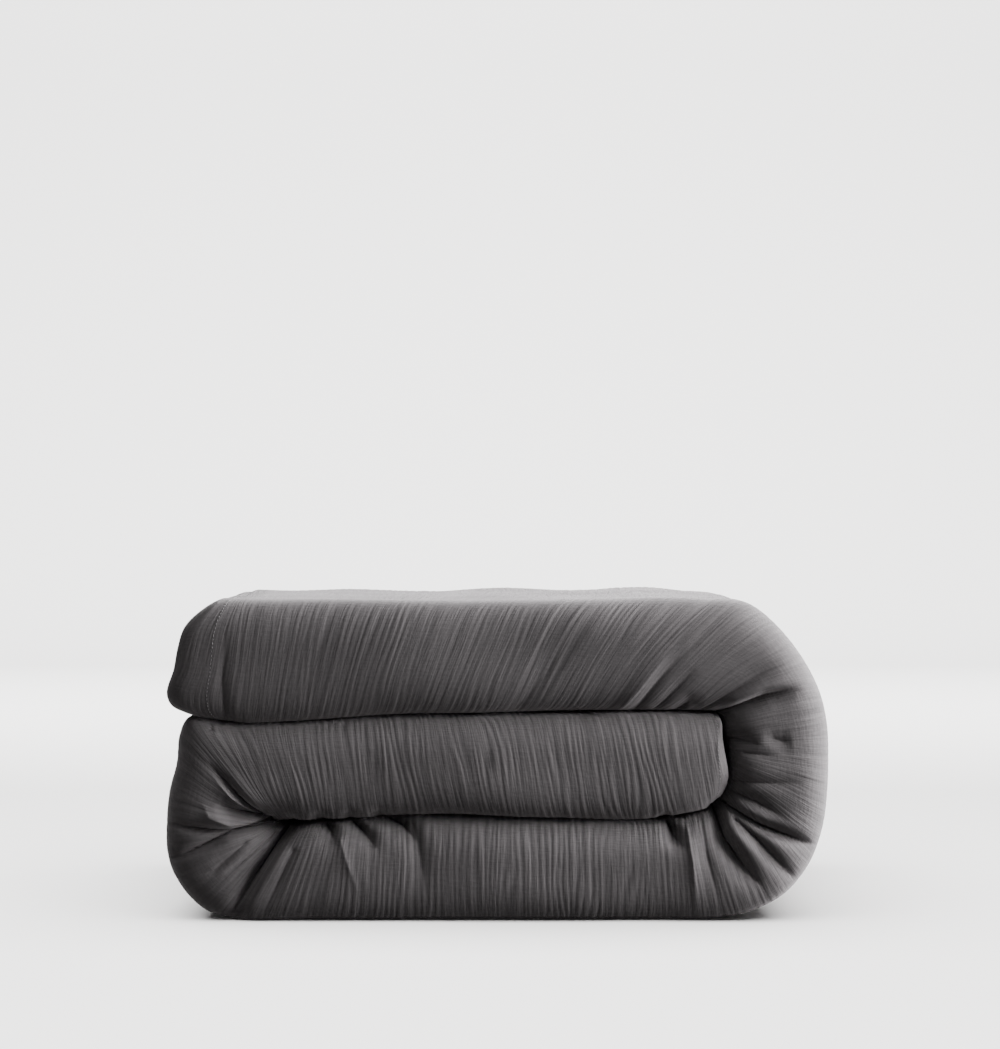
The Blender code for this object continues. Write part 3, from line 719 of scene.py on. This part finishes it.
for kind, gap, finish, slot in (
    ("shell", SHELL_GAP, cotton, "shell_cotton"),
    ("wadding", WADDING_GAP, wadding, "wadding"),
):
    half = PLY / 2 - gap
    insert_rows = ply_rows(half, INSERT_SIDE_INSET + gap, INSERT_ROW_STEP)
    covered = (stations > insert_start + gap) & (stations < insert_end - gap)
    insert_stations = stations[covered][::INSERT_EVERY]
    ring_y, ring_n, ring_around = cover_points(insert_stations, insert_rows, half, insert_start, insert_end)
    body_points = lay(insert_stations[:, None], ring_y, ring_n, INSERT_SLACK)
    body_points[..., 2] = np.maximum(body_points[..., 2], FLOOR_GAP + gap)
    body_weave = np.stack(np.broadcast_arrays(insert_stations[:, None], ring_around[None, :], 0.5), axis=-1)
    for body, part in stretches(body_cuts(insert_stations)):
        name = f"insert_{kind}_{body}"
        piece = closed_grid(name, body_points[part], outward(body_points)[part], body_weave[part], finish)
        if kind == "shell":
            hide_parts(f"insert_shell_face_{body}", f"insert_shell_back_{body}")
        else:
            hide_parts(f"insert_fill_{body}")
        follow_body(piece, body)


# Head seam and foot hem. The closed end of the cover, at the middle layer's free end, is turned in and
# stitched flat. At the open end, the face and back panels each end in a band turned over and stitched. The
# thread is spun polyester, which has a dull shine and shows its twist.
HEM_WIDTH = 0.040
HEAD_SEAM_WIDTH = 0.008
STITCH_LENGTH = 0.0028
STITCH_PITCH = 0.0040
STITCH_THICKNESS = 0.00035
STITCH_WIDTH = 1.3 * STITCH_THICKNESS
STITCH_LIFT = 0.6 * STITCH_THICKNESS  # of its middle above the cloth
STRANDS_PER_METRE = 3000  # 0.3 mm apart
thread, thread_tree, thread_shader = new_finish("charcoal_polyester_thread")
thread_shader.inputs["Base Color"].default_value = linear("#4A4849")
thread_shader.inputs["Roughness"].default_value = 0.55
spot = add_node(thread_tree, "ShaderNodeTexCoord").outputs["Object"]
strands = add_node(thread_tree, "ShaderNodeTexNoise", {"Vector": spot, "Scale": STRANDS_PER_METRE})
bump = add_node(thread_tree, "ShaderNodeBump", {"Height": strands.outputs["Fac"], "Distance": 0.0001})
thread_tree.links.new(bump.outputs["Normal"], thread_shader.inputs["Normal"])


def stitch_row(name, row_along, side, body, nodes):
    """Raised stitches round the ply at one distance along the strip, on its face (1) or its back (-1)."""
    station = int(np.argmin(abs(stations - row_along)))
    span = range(len(rows)) if side > 0 else range(len(rows), points.shape[1])
    line = points[station, span[0]:span[-1] + 1]
    facing = normals[station, span[0]:span[-1] + 1]
    run = np.concatenate([[0], np.cumsum(np.linalg.norm(np.diff(line, axis=0), axis=1))])
    bm = bmesh.new()
    for centre in np.arange(STITCH_PITCH, run[-1] - STITCH_PITCH, STITCH_PITCH):
        start, end = (
            Vector([np.interp(centre + way * STITCH_LENGTH / 2, run, line[:, axis]) for axis in range(3)])
            for way in (-1, 1)
        )
        up = Vector([float(np.interp(centre, run, facing[:, axis])) for axis in range(3)]).normalized()
        forward = (end - start).normalized()
        turn = Matrix((forward, up.cross(forward), up)).transposed().to_4x4()
        size = Matrix.Diagonal((STITCH_LENGTH / 2, STITCH_WIDTH, STITCH_THICKNESS, 1))
        place = Matrix.Translation((start + end) / 2 + up * STITCH_LIFT)
        bmesh.ops.create_icosphere(bm, subdivisions=1, radius=1, matrix=place @ turn @ size)
    piece = add_object(name, bm, thread)
    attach(piece, body)
    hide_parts(*nodes)


stitch_row("head_seam_stitching", STRIP_START + HEAD_SEAM_WIDTH, 1, "base", ["head_seam"])
stitch_row("foot_hem_face_stitching", STRIP_END - HEM_WIDTH, 1, "flap", ["foot_hem_face"])
stitch_row("foot_hem_back_stitching", STRIP_END - HEM_WIDTH, -1, "flap", ["foot_hem_back"])


# Buttons, corner ties and corner loops. Eight flat four-hole buttons close the foot hem from inside. At each
# corner a tape tie of the cover holds a tape loop of the insert, so that the insert can't slide in the cover.
# Cast polyester buttons are cloudy and fairly glossy. Cotton twill tape is matt, with slanting lines.
MIDDLE_LEVEL = 0.160  # of the middle layer's middle
TOP_LEVEL = 0.2675
CAD_HEAD_END = 0.212
CAD_FOOT_END = -0.326
CLOUDS_PER_METRE = 220  # about 5 mm across
TWILL_SCALE = 260  # lines 1.2 mm apart
SHARP_ANGLE = 35  # degrees
resin, resin_tree, resin_shader = new_finish("charcoal_polyester_button")
resin_shader.inputs["Roughness"].default_value = 0.32
spot = add_node(resin_tree, "ShaderNodeTexCoord").outputs["Object"]
settings = {"Vector": spot, "Scale": CLOUDS_PER_METRE, "Distortion": 2.0}
cloud = add_node(resin_tree, "ShaderNodeTexNoise", settings).outputs["Fac"]
colour = add_node(resin_tree, "ShaderNodeMix", {"Factor": cloud}, data_type="RGBA")
colour.inputs[6].default_value = linear("#2C2A2A")
colour.inputs[7].default_value = linear("#5A5655")
resin_tree.links.new(colour.outputs[2], resin_shader.inputs["Base Color"])
tape, tape_tree, tape_shader = new_finish("grey_cotton_twill_tape")
tape_shader.inputs["Roughness"].default_value = 0.9
spot = add_node(tape_tree, "ShaderNodeTexCoord").outputs["Object"]
turned = add_node(tape_tree, "ShaderNodeMapping", {"Vector": spot, "Rotation": (0, 0, math.radians(45))})
settings = {"Vector": turned.outputs["Vector"], "Scale": TWILL_SCALE}
twill = add_node(tape_tree, "ShaderNodeTexWave", settings).outputs["Fac"]
colour = add_node(tape_tree, "ShaderNodeMix", {"Factor": twill}, data_type="RGBA")
colour.inputs[6].default_value = linear("#474546")
colour.inputs[7].default_value = linear("#6B6869")
tape_tree.links.new(colour.outputs[2], tape_shader.inputs["Base Color"])
bump = add_node(tape_tree, "ShaderNodeBump", {"Height": twill, "Distance": 0.0003}).outputs["Normal"]
tape_tree.links.new(bump, tape_shader.inputs["Normal"])


def settle(node, end, finish):
    """A small held piece, moved with its mesh from its flat place to where the settled cloth holds it."""
    bm = bmesh.new()
    bm.from_mesh(frame["nodes"][node].data)
    bmesh.ops.remove_doubles(bm, verts=bm.verts, dist=0.00001)
    low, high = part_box(node)
    centre = [(a + b) / 2 for a, b in zip(low, high)]
    level = MIDDLE_LEVEL if end == "head" else TOP_LEVEL
    if end == "head":
        along = STRIP_START + CAD_HEAD_END - centre[0]
    else:
        along = STRIP_END - (centre[0] - CAD_FOOT_END)
    target = lay(along, centre[1], (centre[2] - level) / (LAYER / 2))
    bmesh.ops.translate(bm, verts=bm.verts, vec=Vector([float(a) for a in target]) - Vector(centre))
    piece = add_object(f"held_{node}", bm, finish)
    piece.data.set_sharp_from_angle(angle=math.radians(SHARP_ANGLE))
    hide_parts(node)
    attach(piece, "base" if end == "head" else "flap")


for number in range(1, 9):
    settle(f"button_{number}", "foot", resin)
for end in ("head", "foot"):
    for side in ("outer", "inner"):
        settle(f"corner_tie_{end}_{side}", end, tape)
        settle(f"insert_loop_{end}_{side}", end, tape)
